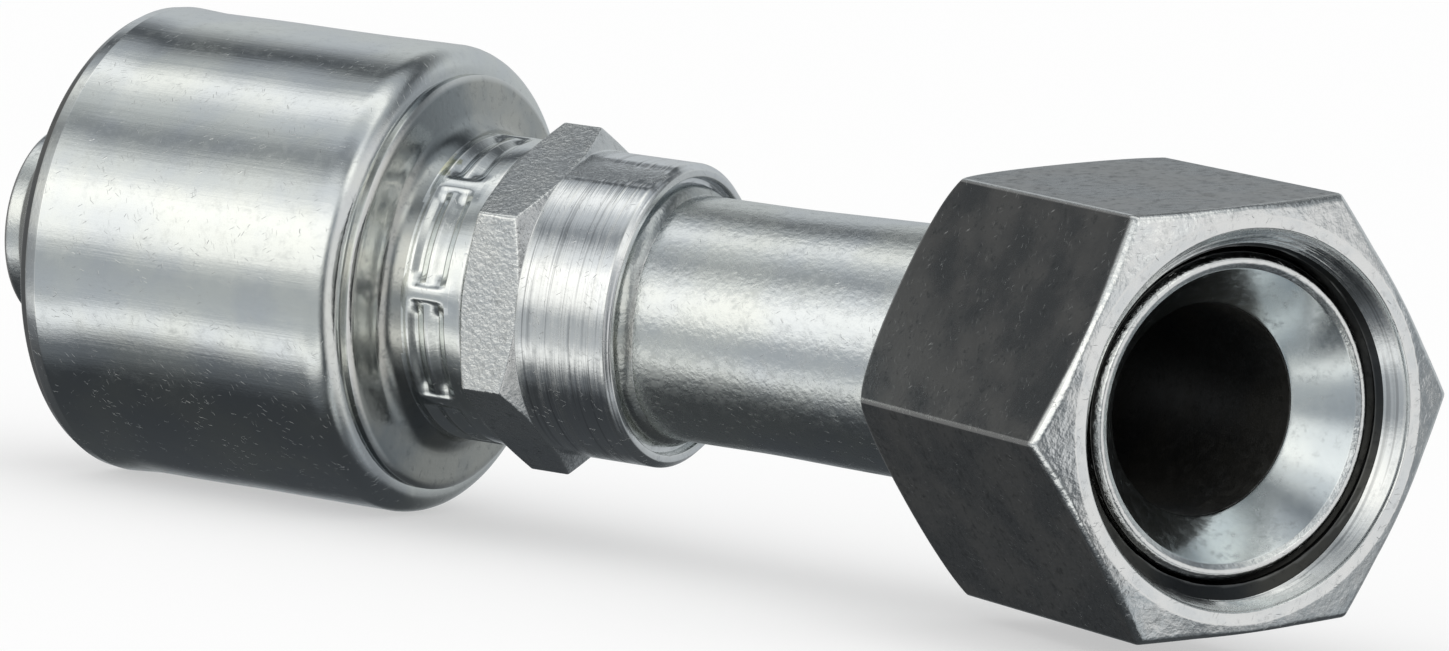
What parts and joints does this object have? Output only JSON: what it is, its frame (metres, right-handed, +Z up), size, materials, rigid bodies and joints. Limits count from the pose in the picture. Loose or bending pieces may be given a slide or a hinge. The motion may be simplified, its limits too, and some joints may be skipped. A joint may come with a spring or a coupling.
{
  "type": "hydraulic hose coupling",
  "caption": "Crimp-on hose end coupling: a smooth ferrule shell over a barbed stem, a small hex, a bent tube with a flared seat, and a loose hexagonal swivel nut.",
  "frame": {"origin": "centre of the stem's bore at its open hose end", "axes": "+X along the hose-side axis from the hose to the bend, the tube bends towards -Y in the XY plane, +Z up"},
  "size_m": [0.1226, 0.048, 0.0376],
  "materials": {
    "shell_plate": "satin zinc plate, smooth drawn, fine handling scratches",
    "insert_steel": "plain plated steel",
    "stem_plate": "zinc plate over turned steel, fine tool marks, grainy hex flats",
    "braze": "plated braze fillet",
    "tube_plate": "satin zinc plate with a slight orange peel",
    "sleeve_plate": "satin zinc plate",
    "nut_plate": "matt grey zinc plate, bright on worn edges and on the turned face"
  },
  "bodies": {
    "coupling": {"ferrule_shell": "shell_plate", "grip_insert": "insert_steel", "hose_stem": "stem_plate", "braze_fillet": "braze", "bent_tube": "tube_plate"},
    "sleeve": {"thrust_sleeve": "sleeve_plate"},
    "nut": {"swivel_nut": "nut_plate"}
  },
  "joints": [
    {"name": "nut_swivel", "type": "hinge", "parent": "coupling", "child": "sleeve", "pos_m": [0.0902, 0, 0], "axis": [0.866, -0.5, 0], "continuous": true},
    {"name": "nut_slide", "type": "slide", "parent": "sleeve", "child": "nut", "axis": [0.866, -0.5, 0], "range_m": [0, 0.008]}
  ]
}
